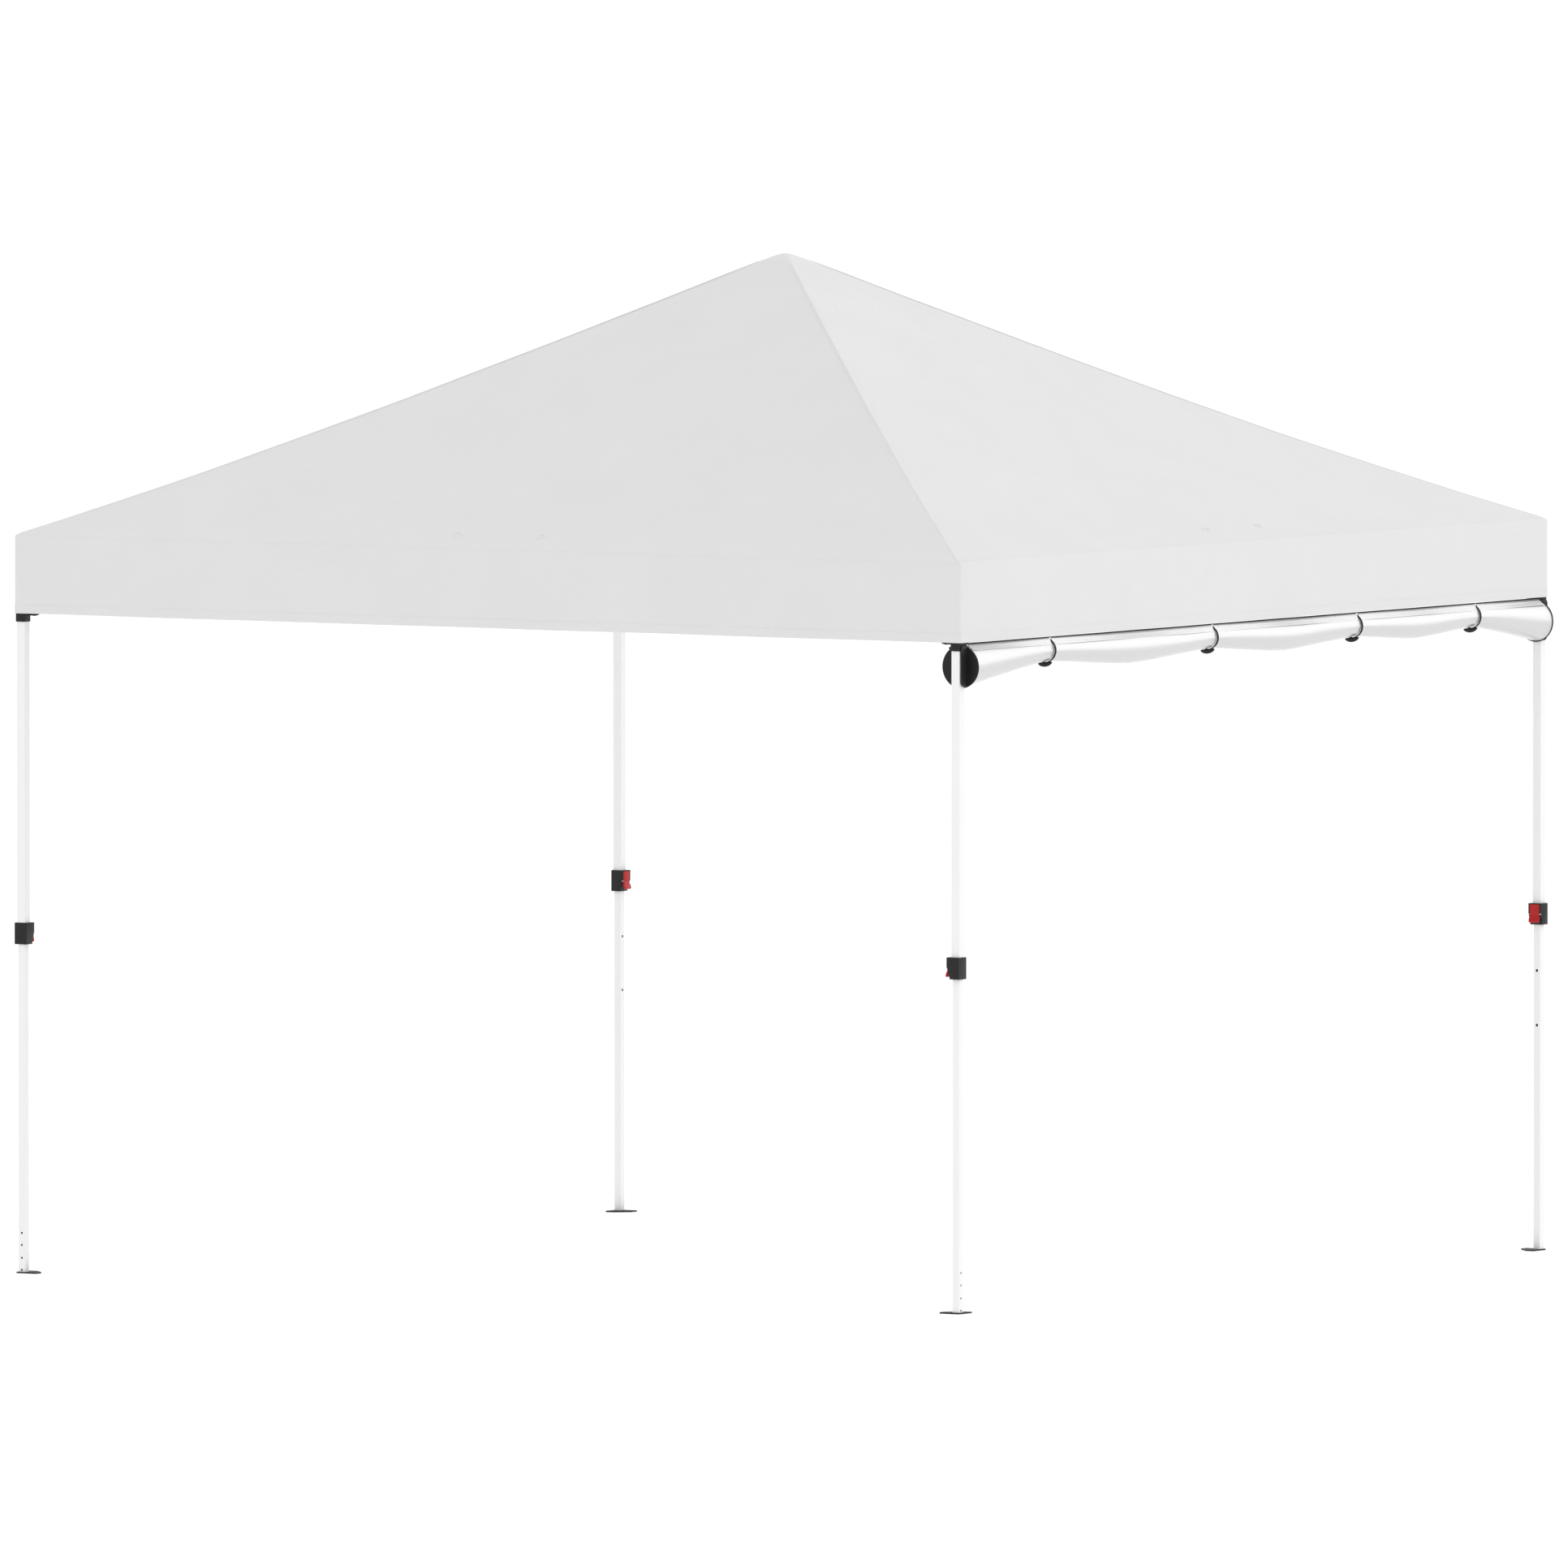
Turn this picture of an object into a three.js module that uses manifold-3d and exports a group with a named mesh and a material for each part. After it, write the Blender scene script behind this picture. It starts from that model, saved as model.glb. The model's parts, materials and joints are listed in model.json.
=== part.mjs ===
// A straight-leg pop-up canopy, 2.95 m square, with a rolled-up sidewall along its right side.
// Millimetres. +X is to the right, -Y is the front, +Z is up. The origin is on the floor under the mast.
import * as THREE from 'three';
import { mergeVertices } from 'three/addons/utils/BufferGeometryUtils.js';
import Module from 'manifold-3d';

const wasm = await Module();
wasm.setup();

// ---- driving sizes ----
const COVER_HALF = 1475;
const PEAK_Z = 2679;
const EAVE_Z = 1953;
const HEM_Z = 1745;
const HIP_SAG = 28;
const CLOTH = 1.5;
const LEG_AT = 1457;
const OUTER_TUBE = 25;
const INNER_TUBE = 20;
const TUBE_WALL = 1.2;
const GAP = 0.3;
const SLEEVE = 29.6;

// ---- the folding linkage: three crossing pairs of bars on each side ----
const CELLS = 3;
const PIVOT_REACH = 50;
const TOP_PIVOT_Z = 1925;
const LOW_PIVOT_Z = 1760;
const CELL = (2 * (LEG_AT - PIVOT_REACH)) / CELLS;
const DROP = TOP_PIVOT_Z - LOW_PIVOT_Z;
const BAR_LENGTH = Math.hypot(CELL, DROP);
const BAR_ANGLE = Math.atan2(DROP, CELL);
const BAR_DEPTH = 20;
const BAR_THICK = 10;
const BAR_OFFSET = 7;
const LUG_THICK = 3;

// ---- the roof arms: two from each corner to the hub, at the same angle as the bars ----
const ARM_SCALE = CELLS / Math.SQRT2 / 2;
const ARM_LENGTH = BAR_LENGTH * ARM_SCALE;
const ARM_DEPTH = 14;
const ARM_THICK = 8;
const ARM_OFFSET = 6;
const CORNER_REACH = 38;
const HUB_REACH = PIVOT_REACH * Math.SQRT2 - CORNER_REACH;

// ---- heights along a leg ----
const LEG_TOP_Z = 1945;
const OUTER_TUBE_LOW_Z = 906;
const INNER_TUBE_TOP_Z = 1050;
const LOCK_LOW_Z = 871;
const LOCK_TOP_Z = 928;
const LOCK_SIZE = 38;
const LOCK_FRONT = 23.5;
const LEVER_PIVOT_Z = (LOCK_LOW_Z + LOCK_TOP_Z) / 2;
const CHEEK = 4;
const HOLE_PITCH = 146;
const TOP_HOLE_Z = 894;
const PLAIN_HOLES_Z = [9, 41, 75, 107];
const FOOT_THICK = 4;
const SLIDER_LOW_Z = 1724;
const SLIDER_TOP_Z = 1782;
const BUTTON_Z = 1731;

// ---- the rolled sidewall under the right-hand hem ----
const ROLL_X = 1455;
const ROLL_TOP_Z = 1738;
const CAP_RADIUS = 56;
const CAP_THICK = 5;
const CAP_OUTER_Y = 1441.5;
const STRAP_RADIUS = 30;
const BULGE_RADIUS = 44;
const STRAP_WIDTH = 7;
const STRAP_THICK = 2;
const STRAP_SLACK = 1;
const STRAP_Y = [-1025, -220, 506, 1109];

// ---- materials ----
function finish(color, roughness, metalness) {
  return new THREE.MeshStandardMaterial({ color, roughness, metalness });
}

const WHITE_PAINT = finish(0xf4f4f3, 0.35, 0.1);
const BLACK_PLASTIC = finish(0x303030, 0.5, 0);
const RED_PLASTIC = finish(0xb03434, 0.4, 0);
const WHITE_FABRIC = finish(0xeaeaea, 0.85, 0);
const GLOSSY_FABRIC = finish(0xefefef, 0.4, 0);
const BLACK_WEBBING = finish(0x2c2c2c, 0.8, 0);

// ---- solids: from a three.js geometry to a manifold and back ----
function solid(geometry) {
  const bare = geometry.clone();
  bare.deleteAttribute('normal');
  bare.deleteAttribute('uv');
  const merged = mergeVertices(bare, 1e-4);
  const vertProperties = new Float32Array(merged.attributes.position.array);
  const triVerts = new Uint32Array(merged.index.array);
  return new wasm.Manifold(new wasm.Mesh({ numProp: 3, vertProperties, triVerts }));
}

function geometryOf(manifold) {
  const mesh = manifold.getMesh();
  const geometry = new THREE.BufferGeometry();
  geometry.setAttribute('position', new THREE.BufferAttribute(mesh.vertProperties, 3));
  geometry.setIndex(new THREE.BufferAttribute(mesh.triVerts, 1));
  geometry.computeVertexNormals();
  return geometry;
}

const join = (...geometries) => geometryOf(wasm.Manifold.union(geometries.map(solid)));
const cut = (body, ...tools) => geometryOf(solid(body).subtract(wasm.Manifold.union(tools.map(solid))));

// ---- shapes ----
function roundedSquare(target, size, radius) {
  const flat = size / 2 - radius;
  target.absarc(flat, flat, radius, 0, Math.PI / 2);
  target.absarc(-flat, flat, radius, Math.PI / 2, Math.PI);
  target.absarc(-flat, -flat, radius, Math.PI, 1.5 * Math.PI);
  target.absarc(flat, -flat, radius, 1.5 * Math.PI, 2 * Math.PI);
  return target;
}

function squareTube(size, hole, lowZ, highZ, radius) {
  const shape = roundedSquare(new THREE.Shape(), size, radius);
  shape.holes.push(roundedSquare(new THREE.Path(), hole, radius / 2));
  const options = { depth: highZ - lowZ, bevelEnabled: false, curveSegments: 1 };
  return new THREE.ExtrudeGeometry(shape, options).translate(0, 0, lowZ);
}

// An outline drawn in X and Z, given a thickness along Y and centred on Y = 0.
function uprightPlate(shape, thickness, curveSegments = 3) {
  const options = { depth: thickness, bevelEnabled: false, curveSegments };
  return new THREE.ExtrudeGeometry(shape, options).translate(0, 0, -thickness / 2).rotateX(Math.PI / 2);
}

const box = (sizeX, sizeY, sizeZ, x, y, z) => new THREE.BoxGeometry(sizeX, sizeY, sizeZ).translate(x, y, z);

// A round bar along Y, for holes and pins.
const crossBar = (radius, length, x, y, z, sides) =>
  new THREE.CylinderGeometry(radius, radius, length, sides).translate(x, y, z);

const polygon = (points) => new THREE.Shape(points.map(([x, y]) => new THREE.Vector2(x, y)));

// A flat lug that stands out along +X from a sleeve and ends round about its pivot.
function lug(reach, pivotZ, endRadius, rootX, rootLow, rootHigh) {
  const shape = new THREE.Shape();
  shape.moveTo(rootX, rootLow);
  shape.absarc(reach, pivotZ, endRadius, -Math.PI / 2, Math.PI / 2);
  shape.lineTo(rootX, rootHigh);
  return uprightPlate(shape, LUG_THICK);
}

// A flat bar with round ends from its pivot at the origin along +X.
function bar(length, depth, thickness) {
  const shape = new THREE.Shape();
  shape.absarc(0, 0, depth / 2, Math.PI / 2, 1.5 * Math.PI);
  shape.absarc(length, 0, depth / 2, -Math.PI / 2, Math.PI / 2);
  return uprightPlate(shape, thickness);
}

// ---- pieces of one corner, drawn about the leg's axis; +X and +Y point inwards along the two sides ----
function upperLeg() {
  const inside = OUTER_TUBE - 2 * TUBE_WALL;
  const bracketLowZ = LEG_TOP_Z - 65;
  const lidThick = 4;
  const sideLugRadius = 12;
  const roofLugRadius = 9;
  const rootX = OUTER_TUBE / 2 + 1;
  const tube = squareTube(OUTER_TUBE, inside, OUTER_TUBE_LOW_Z, LEG_TOP_Z, 1.5);
  const bracket = squareTube(SLEEVE, inside, bracketLowZ, LEG_TOP_Z, 3);
  const lid = box(OUTER_TUBE, OUTER_TUBE, lidThick, 0, 0, LEG_TOP_Z);
  const sideLug = lug(PIVOT_REACH, TOP_PIVOT_Z, sideLugRadius, rootX, TOP_PIVOT_Z - 30, TOP_PIVOT_Z + 15);
  const otherLug = sideLug.clone().rotateZ(Math.PI / 2);
  const roofRootX = rootX + 3;
  const roofLowZ = TOP_PIVOT_Z - 20;
  const roofLug = lug(CORNER_REACH, TOP_PIVOT_Z, roofLugRadius, roofRootX, roofLowZ, TOP_PIVOT_Z + 13);
  roofLug.rotateZ(Math.PI / 4);
  return join(tube, bracket, lid, sideLug, otherLug, roofLug);
}

function lowerLeg() {
  const outerEdge = -14;
  const innerEdge = 47;
  const cutCorner = 12;
  const pegHoleAt = 22;
  const pegHoleRadius = 4.5;
  const lockHoleRadius = 4;
  const plainHoleRadius = 3;
  const drill = 8;
  const tube = squareTube(INNER_TUBE, INNER_TUBE - 2 * TUBE_WALL, FOOT_THICK / 2, INNER_TUBE_TOP_Z, 1.2);
  const footOutline = polygon([
    [outerEdge, outerEdge], [innerEdge, outerEdge], [innerEdge, cutCorner],
    [cutCorner, innerEdge], [outerEdge, innerEdge],
  ]);
  footOutline.holes.push(new THREE.Path().absarc(pegHoleAt, pegHoleAt, pegHoleRadius, 0, 2 * Math.PI));
  const footOptions = { depth: FOOT_THICK, bevelEnabled: false, curveSegments: 6 };
  const foot = new THREE.ExtrudeGeometry(footOutline, footOptions);
  const lockHoles = [0, 1, 2].map((step) => {
    const z = TOP_HOLE_Z - step * HOLE_PITCH;
    return crossBar(lockHoleRadius, drill, 0, INNER_TUBE / 2, z, 12);
  });
  const plainHoles = PLAIN_HOLES_Z.map((z) => crossBar(plainHoleRadius, drill, 0, -INNER_TUBE / 2, z, 12));
  return cut(join(tube, foot), ...lockHoles, ...plainHoles);
}

// Its front is full for the lever's upper half and slants back below, where the lever stands clear.
function lockHousing() {
  const back = LOCK_FRONT - LOCK_SIZE;
  const lowFront = 14.3;
  const slantTopZ = 901.6;
  const slantLowZ = 877;
  const pocketFloor = 14.6;
  const lip = 2;
  const seatZ = OUTER_TUBE_LOW_Z - GAP;
  const outline = polygon([
    [back, LOCK_LOW_Z], [lowFront, LOCK_LOW_Z], [lowFront, slantLowZ],
    [LOCK_FRONT, slantTopZ], [LOCK_FRONT, LOCK_TOP_Z], [back, LOCK_TOP_Z],
  ]);
  const body = uprightPlate(outline, LOCK_SIZE).rotateZ(Math.PI / 2);
  const outerRoom = OUTER_TUBE + 2 * GAP;
  const innerRoom = INNER_TUBE + 2 * GAP;
  const upperBore = box(outerRoom, outerRoom, LOCK_SIZE, 0, 0, seatZ + LOCK_SIZE / 2);
  const lowerBore = box(innerRoom, innerRoom, LOCK_SIZE * 2, 0, 0, seatZ);
  const pocketHigh = LOCK_TOP_Z - lip - LOCK_LOW_Z;
  const pocketDeep = LOCK_FRONT - pocketFloor + 1;
  const pocketY = pocketFloor + pocketDeep / 2;
  const pocket = box(LOCK_SIZE - 2 * CHEEK, pocketDeep, pocketHigh, 0, pocketY, LOCK_LOW_Z + pocketHigh / 2);
  return cut(body, upperBore, lowerBore, pocket);
}

// A flat plate between the cheeks, with a wider flared end below its pivot.
function lockLever() {
  const half = LOCK_SIZE / 2 - CHEEK - GAP;
  const top = 25.9;
  const thick = 4;
  const side = polygon([
    [LOCK_FRONT - thick, top], [LOCK_FRONT - thick, -4], [24.5, -22.5], [26, -23.3],
    [29.5, -19.8], [22.8, -3.8], [LOCK_FRONT, -1], [LOCK_FRONT, top],
  ]);
  const front = polygon([
    [-half, top], [-half, -8], [-half - 1.6, -9.6], [-half, -24],
    [half, -24], [half + 1.6, -9.6], [half, -8], [half, top],
  ]);
  const profile = solid(uprightPlate(side, 2 * LOCK_SIZE).rotateZ(Math.PI / 2));
  const outline = solid(uprightPlate(front, 4 * LOCK_SIZE));
  return geometryOf(profile.intersect(outline)).translate(0, 0, LEVER_PIVOT_Z);
}

// The lugs are round plates that hang a little below the hem.
function slider() {
  const lugCentre = 38;
  const lugRadius = 20.5;
  const buttonRoom = 3.3;
  const sleeve = squareTube(SLEEVE, OUTER_TUBE + 2 * GAP, SLIDER_LOW_Z, SLIDER_TOP_Z, 3);
  const rootX = OUTER_TUBE / 2 + 1.2;
  const sideLug = lug(lugCentre, LOW_PIVOT_Z, lugRadius, rootX, LOW_PIVOT_Z - 19, LOW_PIVOT_Z + 19);
  const otherLug = sideLug.clone().rotateZ(Math.PI / 2);
  const buttonHole = crossBar(buttonRoom, 10, 0, SLEEVE / 2, BUTTON_Z, 12);
  return cut(join(sleeve, sideLug, otherLug), buttonHole);
}

// A pull knob that stands well out from the sleeve.
function sliderButton() {
  const start = OUTER_TUBE / 2 + 2 * GAP;
  const face = SLEEVE / 2 + GAP;
  const stem = 2.6;
  const head = 3.4;
  const proud = 11.5;
  const profile = [
    [0, start], [stem, start], [stem, face + 3], [head, face + 4.5],
    [head, face + proud - 1], [head - 1, face + proud], [0, face + proud],
  ].map(([radius, y]) => new THREE.Vector2(radius, y));
  return new THREE.LatheGeometry(profile, 12).translate(0, 0, BUTTON_Z);
}

// ---- middle: hub, mast and peak cap in one turned piece, with a lug for each roof arm ----
function peakMast() {
  const mastRadius = OUTER_TUBE / 2;
  const bore = mastRadius - 1.5;
  const hubRadius = 17;
  const hubHalf = 20;
  const capRadius = 45;
  const capZ = PEAK_Z - 52;
  const profile = new THREE.Path();
  profile.moveTo(0, capZ - 5);
  profile.lineTo(bore, capZ - 5);
  profile.lineTo(bore, TOP_PIVOT_Z - hubHalf);
  profile.lineTo(hubRadius, TOP_PIVOT_Z - hubHalf);
  profile.lineTo(hubRadius, TOP_PIVOT_Z + hubHalf);
  profile.lineTo(mastRadius, TOP_PIVOT_Z + hubHalf + 4);
  profile.lineTo(mastRadius, capZ);
  profile.lineTo(capRadius, capZ);
  profile.quadraticCurveTo(capRadius - 3, capZ + 36, 0, capZ + 40);
  const turned = new THREE.LatheGeometry(profile.getPoints(5), 16).rotateX(Math.PI / 2);
  const arm = lug(HUB_REACH, TOP_PIVOT_Z, 8, hubRadius - 2, TOP_PIVOT_Z - 14, TOP_PIVOT_Z + 14);
  const lugs = [1, 3, 5, 7].map((eighth) => arm.clone().rotateZ((eighth * Math.PI) / 4));
  return join(turned, ...lugs);
}

// ---- cover: a four-sided turned shell, straight valance below, slightly hollow hips above ----
function canopyCover() {
  const corner = COVER_HALF * Math.SQRT2;
  const rise = PEAK_Z + 14 - EAVE_Z;
  const hip = (share) => [corner * (1 - share), EAVE_Z + rise * share - 4 * HIP_SAG * share * (1 - share)];
  const outside = [[corner, HEM_Z], ...[0, 0.15, 0.3, 0.5, 0.7, 0.85, 0.965].map(hip), [0, PEAK_Z]];
  const inset = CLOTH * Math.SQRT2;
  const inside = outside.map(([r, z]) => [Math.max(r - inset, 0), z === HEM_Z ? z : z - CLOTH]).reverse();
  const ring = [...outside, ...inside, outside[0]].map(([r, z]) => new THREE.Vector2(r, z));
  return new THREE.LatheGeometry(ring, 4, Math.PI / 4).rotateX(Math.PI / 2);
}

// ---- rolled sidewall: full at its caps, pinched at each strap, level along its top ----
function rollRadius(y) {
  const ends = CAP_OUTER_Y - CAP_THICK;
  const pinches = [-ends, ...STRAP_Y, ends];
  const after = Math.max(1, pinches.findIndex((at) => at >= y));
  const share = (y - pinches[after - 1]) / (pinches[after] - pinches[after - 1]);
  const atEnd = (at) => (Math.abs(at) === ends ? CAP_RADIUS - 1 : STRAP_RADIUS);
  const between = THREE.MathUtils.lerp(atEnd(pinches[after - 1]), atEnd(pinches[after]), share);
  const fullness = after === 1 || after === pinches.length - 1 ? 0 : BULGE_RADIUS - STRAP_RADIUS;
  return between + fullness * Math.sin(Math.PI * share);
}

// The slider's button sticks out towards the roll at the back leg, so cap and cloth leave it room.
const buttonRoom = (end) => box(12, 20, 24, LEG_AT, end * (CAP_OUTER_Y - 7.5), BUTTON_Z + 3);

function sidewallRoll() {
  const end = CAP_OUTER_Y - CAP_THICK - GAP;
  const steps = 24;
  const ys = Array.from({ length: steps + 1 }, (_, i) => -end + (2 * end * i) / steps);
  const stations = [...ys, ...STRAP_Y].sort((a, b) => a - b);
  const profile = [[0, -end], ...stations.map((y) => [rollRadius(y), y]), [0, end]];
  const roll = new THREE.LatheGeometry(profile.map(([r, y]) => new THREE.Vector2(r, y)), 12);
  const place = roll.attributes.position;
  for (let i = 0; i < place.count; i += 1) {
    const y = THREE.MathUtils.clamp(place.getY(i), -end, end);
    place.setXYZ(i, place.getX(i) + ROLL_X, y, place.getZ(i) + ROLL_TOP_Z - rollRadius(y));
  }
  return cut(roll, buttonRoom(1));
}

// ---- what carries the roll: header tape, four strap loops, two end caps with a cheek on the leg ----
function sidewallHarness() {
  const tapeX = 1466;
  const tapeHigh = 4;
  const tapeZ = ROLL_TOP_Z + 1.5 + tapeHigh / 2;
  const tape = box(10, 2 * CAP_OUTER_Y, tapeHigh, tapeX, 0, tapeZ);
  const inner = STRAP_RADIUS + STRAP_SLACK;
  const straps = STRAP_Y.map((y) => {
    const loop = new THREE.Shape().absarc(0, 0, inner + STRAP_THICK, 0, 2 * Math.PI);
    loop.holes.push(new THREE.Path().absarc(0, 0, inner, 0, 2 * Math.PI));
    return uprightPlate(loop, STRAP_WIDTH, 8).translate(ROLL_X, y, ROLL_TOP_Z - STRAP_RADIUS);
  });
  const cheekEdgeY = 1469;
  const cheekWide = cheekEdgeY - CAP_OUTER_Y + CAP_THICK;
  const capParts = [-1, 1].flatMap((end) => {
    const middleY = end * (CAP_OUTER_Y - CAP_THICK / 2);
    const round = crossBar(CAP_RADIUS, CAP_THICK, ROLL_X, middleY, ROLL_TOP_Z - CAP_RADIUS, 28);
    const disc = cut(round, buttonRoom(end));
    const hanger = box(8, CAP_THICK, 30, tapeX + 1, middleY, tapeZ - 13);
    const cheek = box(3.4, cheekWide, 108, LEG_AT + 17.3, end * (cheekEdgeY - cheekWide / 2), 1684);
    return [disc, hanger, cheek];
  });
  return join(tape, ...straps, ...capParts);
}

// ---- assembly ----
const canopy = new THREE.Group();

function place(parent, name, geometry, material) {
  const mesh = new THREE.Mesh(geometry, material);
  mesh.name = name;
  parent.add(mesh);
  return mesh;
}

const CORNERS = ['front_left', 'back_left', 'back_right', 'front_right'];
const SIDES = ['front', 'left', 'back', 'right'];

CORNERS.forEach((corner, index) => {
  const quarter = new THREE.Group();
  quarter.rotation.z = (-index * Math.PI) / 2;
  canopy.add(quarter);

  const leg = new THREE.Group();
  leg.position.set(-LEG_AT, -LEG_AT, 0);
  quarter.add(leg);
  place(leg, `upper_leg_${corner}`, upperLeg(), WHITE_PAINT);
  place(leg, `lower_leg_${corner}`, lowerLeg(), WHITE_PAINT);
  place(leg, `lock_housing_${corner}`, lockHousing(), BLACK_PLASTIC);
  place(leg, `lock_lever_${corner}`, lockLever(), RED_PLASTIC);
  place(leg, `slider_${corner}`, slider(), BLACK_PLASTIC);
  place(leg, `slider_button_${corner}`, sliderButton(), BLACK_PLASTIC);

  // Both arms lie in the upright plane through the corner and the mast, side by side.
  const armPlane = new THREE.Group();
  armPlane.rotation.z = Math.PI / 4;
  quarter.add(armPlane);
  const cornerPivot = -LEG_AT * Math.SQRT2 + CORNER_REACH;
  const roofArm = bar(ARM_LENGTH, ARM_DEPTH, ARM_THICK);
  const outerArm = place(armPlane, `roof_arm_outer_${corner}`, roofArm, WHITE_PAINT);
  outerArm.position.set(cornerPivot, -ARM_OFFSET, TOP_PIVOT_Z);
  outerArm.rotation.y = BAR_ANGLE;
  const innerArm = place(armPlane, `roof_arm_inner_${corner}`, roofArm, WHITE_PAINT);
  innerArm.position.set(-HUB_REACH, ARM_OFFSET, TOP_PIVOT_Z);
  innerArm.rotation.y = Math.PI - BAR_ANGLE;

  // Bars of the side that starts at this corner: one falls and one rises across each cell.
  const side = SIDES[index];
  const sideBar = bar(BAR_LENGTH, BAR_DEPTH, BAR_THICK);
  for (let cell = 0; cell < CELLS; cell += 1) {
    const startX = -LEG_AT + PIVOT_REACH + cell * CELL;
    const falling = place(quarter, `${side}_bar_falling_${cell + 1}`, sideBar, WHITE_PAINT);
    falling.position.set(startX, -LEG_AT + BAR_OFFSET, TOP_PIVOT_Z);
    falling.rotation.y = BAR_ANGLE;
    const rising = place(quarter, `${side}_bar_rising_${cell + 1}`, sideBar, WHITE_PAINT);
    rising.position.set(startX, -LEG_AT - BAR_OFFSET, LOW_PIVOT_Z);
    rising.rotation.y = -BAR_ANGLE;
  }
});

place(canopy, 'peak_mast', peakMast(), BLACK_PLASTIC);
place(canopy, 'canopy_cover', canopyCover(), WHITE_FABRIC);
place(canopy, 'sidewall_roll', sidewallRoll(), GLOSSY_FABRIC);
place(canopy, 'sidewall_harness', sidewallHarness(), BLACK_WEBBING);

export default canopy;
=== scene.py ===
"""A straight-leg pop-up canopy with a sidewall rolled up along its right side, dressed over its CAD frame.

Metres, in the frame's own axes: +X right, -Y front, +Z up, origin on the floor under the mast.
"""
import json
import math

import bmesh
import bpy
from mathutils import Matrix, Vector, noise

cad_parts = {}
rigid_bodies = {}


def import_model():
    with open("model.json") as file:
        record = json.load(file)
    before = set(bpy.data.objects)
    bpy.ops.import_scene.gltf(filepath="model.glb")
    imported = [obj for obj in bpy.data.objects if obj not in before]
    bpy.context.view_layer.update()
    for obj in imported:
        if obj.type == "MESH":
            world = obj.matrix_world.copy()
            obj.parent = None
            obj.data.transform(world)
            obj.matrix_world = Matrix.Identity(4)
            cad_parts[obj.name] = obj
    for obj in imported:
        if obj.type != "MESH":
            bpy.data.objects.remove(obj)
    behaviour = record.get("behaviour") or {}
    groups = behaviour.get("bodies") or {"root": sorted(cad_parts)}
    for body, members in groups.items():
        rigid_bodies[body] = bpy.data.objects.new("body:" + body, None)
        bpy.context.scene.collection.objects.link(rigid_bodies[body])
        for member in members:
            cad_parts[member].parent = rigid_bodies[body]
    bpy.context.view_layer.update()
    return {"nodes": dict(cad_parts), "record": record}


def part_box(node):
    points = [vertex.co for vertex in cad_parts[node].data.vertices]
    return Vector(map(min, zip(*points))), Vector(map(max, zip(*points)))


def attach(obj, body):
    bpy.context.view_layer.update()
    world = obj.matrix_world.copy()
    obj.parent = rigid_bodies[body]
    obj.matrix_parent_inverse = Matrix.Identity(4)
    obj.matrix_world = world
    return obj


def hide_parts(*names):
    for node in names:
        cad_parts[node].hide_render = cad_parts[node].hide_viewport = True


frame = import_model()

# ---- sizes, most of them read from the frame ----
cover_low, cover_high = (Vector(c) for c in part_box("canopy_cover"))
HALF = cover_high.x
PEAK_Z = cover_high.z
HEM_Z = cover_low.z
VALANCE = 0.208
EAVE_Z = HEM_Z + VALANCE
HIP_SAG = 0.022
LOW_SAG = 0.31
PANEL_SAG = 0.008
LEG_AT = 1.457
LUG_GAP = 0.004
LOCK_SIZE = 0.038

roll_low, roll_high = (Vector(c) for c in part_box("sidewall_roll"))
ROLL_X = (roll_low.x + roll_high.x) / 2
ROLL_TOP_Z = roll_high.z
ROLL_END_Y = roll_high.y
CAP_RADIUS = 0.056
CAP_THICK = 0.005
CAP_OUTER_Y = 1.4415
STRAP_RADIUS = 0.030
BULGE_RADIUS = 0.0435
STRAP_Y = [-1.025, -0.220, 0.506, 1.109]

CORNERS = {
    "front_left": (-1, -1),
    "back_left": (-1, 1),
    "back_right": (1, 1),
    "front_right": (1, -1),
}


# ---- materials ----
def principled(name, colour, roughness, **sockets):
    material = bpy.data.materials.new(name)
    material.use_nodes = True
    shader = material.node_tree.nodes["Principled BSDF"]
    shader.inputs["Base Color"].default_value = (*colour, 1)
    shader.inputs["Roughness"].default_value = roughness
    for socket, value in sockets.items():
        shader.inputs[socket].default_value = value
    return material, material.node_tree, shader


def node(tree, kind, **values):
    made = tree.nodes.new(kind)
    for key, value in values.items():
        if key in made.inputs:
            made.inputs[key].default_value = value
        else:
            setattr(made, key, value)
    return made


def maths(tree, operation, first, second=None):
    made = node(tree, "ShaderNodeMath", operation=operation)
    for socket, value in zip(made.inputs, (first, second)):
        if value is None:
            continue
        if isinstance(value, (int, float)):
            socket.default_value = value
        else:
            tree.links.new(value, socket)
    return made.outputs[0]


def position(tree):
    split = node(tree, "ShaderNodeSeparateXYZ")
    tree.links.new(node(tree, "ShaderNodeTexCoord").outputs["Object"], split.inputs[0])
    return split.outputs


def threads(tree, pitch):
    """Threads that cross: ridges along each axis, so that any flat of the cloth shows two of the three."""
    total = None
    for axis in position(tree):
        ridge = maths(tree, "SINE", maths(tree, "MULTIPLY", axis, 2 * math.pi / pitch))
        total = ridge if total is None else maths(tree, "ADD", total, ridge)
    return total


def bump(tree, shader, height, distance, strength):
    made = node(tree, "ShaderNodeBump", Strength=strength, Distance=distance)
    tree.links.new(height, made.inputs["Height"])
    tree.links.new(made.outputs["Normal"], shader.inputs["Normal"])


def speckle(tree, scale, detail=3.0):
    made = node(tree, "ShaderNodeTexNoise", Scale=scale, Detail=detail)
    tree.links.new(node(tree, "ShaderNodeTexCoord").outputs["Object"], made.inputs["Vector"])
    return made.outputs["Fac"]


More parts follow.
